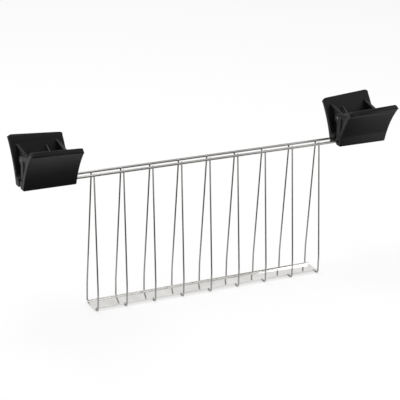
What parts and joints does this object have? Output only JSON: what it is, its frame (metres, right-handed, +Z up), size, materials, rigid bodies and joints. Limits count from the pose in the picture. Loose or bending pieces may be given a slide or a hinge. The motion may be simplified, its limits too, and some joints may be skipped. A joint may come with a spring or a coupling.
{
  "type": "toaster sandwich cage",
  "caption": "Wire cage with a crumb tray that holds a sandwich in a long-slot toaster, with a spring-loaded squeeze handle at each end.",
  "frame": {"origin": "middle of the cage, on the level of the hoops' undersides", "axes": "+X along the rails towards the right-hand handle, +Y towards the rear, +Z up"},
  "size_m": [0.346, 0.0574, 0.1571],
  "materials": {
    "bright_wire": "bright drawn stainless wire",
    "tray_sheet": "polished stainless sheet",
    "black_plastic": "satin black moulded plastic",
    "pin_steel": "turned steel",
    "spring_wire": "spring steel"
  },
  "bodies": {
    "base": {"crumb_tray": "tray_sheet", "hoop_1_base": "bright_wire", "hoop_2_base": "bright_wire", "hoop_3_base": "bright_wire", "hoop_4_base": "bright_wire", "hoop_5_base": "bright_wire", "hoop_6_base": "bright_wire", "hoop_7_base": "bright_wire", "hoop_8_base": "bright_wire", "hoop_9_base": "bright_wire"},
    "front_side": {"hoop_1_front_leg": "bright_wire", "hoop_2_front_leg": "bright_wire", "hoop_3_front_leg": "bright_wire", "hoop_4_front_leg": "bright_wire", "hoop_5_front_leg": "bright_wire", "hoop_6_front_leg": "bright_wire", "hoop_7_front_leg": "bright_wire", "hoop_8_front_leg": "bright_wire", "hoop_9_front_leg": "bright_wire", "front_rail": "bright_wire"},
    "rear_side": {"hoop_1_rear_leg": "bright_wire", "hoop_2_rear_leg": "bright_wire", "hoop_3_rear_leg": "bright_wire", "hoop_4_rear_leg": "bright_wire", "hoop_5_rear_leg": "bright_wire", "hoop_6_rear_leg": "bright_wire", "hoop_7_rear_leg": "bright_wire", "hoop_8_rear_leg": "bright_wire", "hoop_9_rear_leg": "bright_wire", "rear_rail": "bright_wire"},
    "left_front_handle": {"left_front_leaf": "black_plastic", "left_spring_front_arm": "spring_wire"},
    "left_rear_handle": {"left_rear_leaf": "black_plastic", "left_pivot_pin": "pin_steel", "left_spring": "spring_wire"},
    "right_front_handle": {"right_front_leaf": "black_plastic", "right_spring_front_arm": "spring_wire"},
    "right_rear_handle": {"right_rear_leaf": "black_plastic", "right_pivot_pin": "pin_steel", "right_spring": "spring_wire"}
  },
  "joints": [
    {"name": "front_side_swing", "type": "hinge", "parent": "base", "child": "front_side", "pos_m": [0, -0.01215, 0.018], "axis": [1, 0, 0], "range_deg": [0, 3.05], "stiffness_Nm_per_rad": 1, "springref_deg": -2.86},
    {"name": "rear_side_swing", "type": "hinge", "parent": "base", "child": "rear_side", "pos_m": [0, 0.01215, 0.018], "axis": [-1, 0, 0], "range_deg": [0, 3.05]},
    {"name": "left_front_squeeze", "type": "hinge", "parent": "front_side", "child": "left_front_handle", "pos_m": [-0.1495, -0.00487, 0.122], "axis": [-1, 0, 0], "range_deg": [0, 19.32]},
    {"name": "left_rear_squeeze", "type": "hinge", "parent": "rear_side", "child": "left_rear_handle", "pos_m": [-0.1495, 0.00487, 0.122], "axis": [1, 0, 0], "range_deg": [0, 19.32]},
    {"name": "right_front_squeeze", "type": "hinge", "parent": "front_side", "child": "right_front_handle", "pos_m": [0.1495, -0.00487, 0.122], "axis": [-1, 0, 0], "range_deg": [0, 19.32]},
    {"name": "right_rear_squeeze", "type": "hinge", "parent": "rear_side", "child": "right_rear_handle", "pos_m": [0.1495, 0.00487, 0.122], "axis": [1, 0, 0], "range_deg": [0, 19.32]}
  ],
  "couplings": [
    {"joint": "rear_side_swing", "follows": "front_side_swing", "ratio": 1},
    {"joint": "left_front_squeeze", "follows": "front_side_swing", "ratio": 6.333},
    {"joint": "left_rear_squeeze", "follows": "front_side_swing", "ratio": 6.333},
    {"joint": "right_front_squeeze", "follows": "front_side_swing", "ratio": 6.333},
    {"joint": "right_rear_squeeze", "follows": "front_side_swing", "ratio": 6.333}
  ]
}
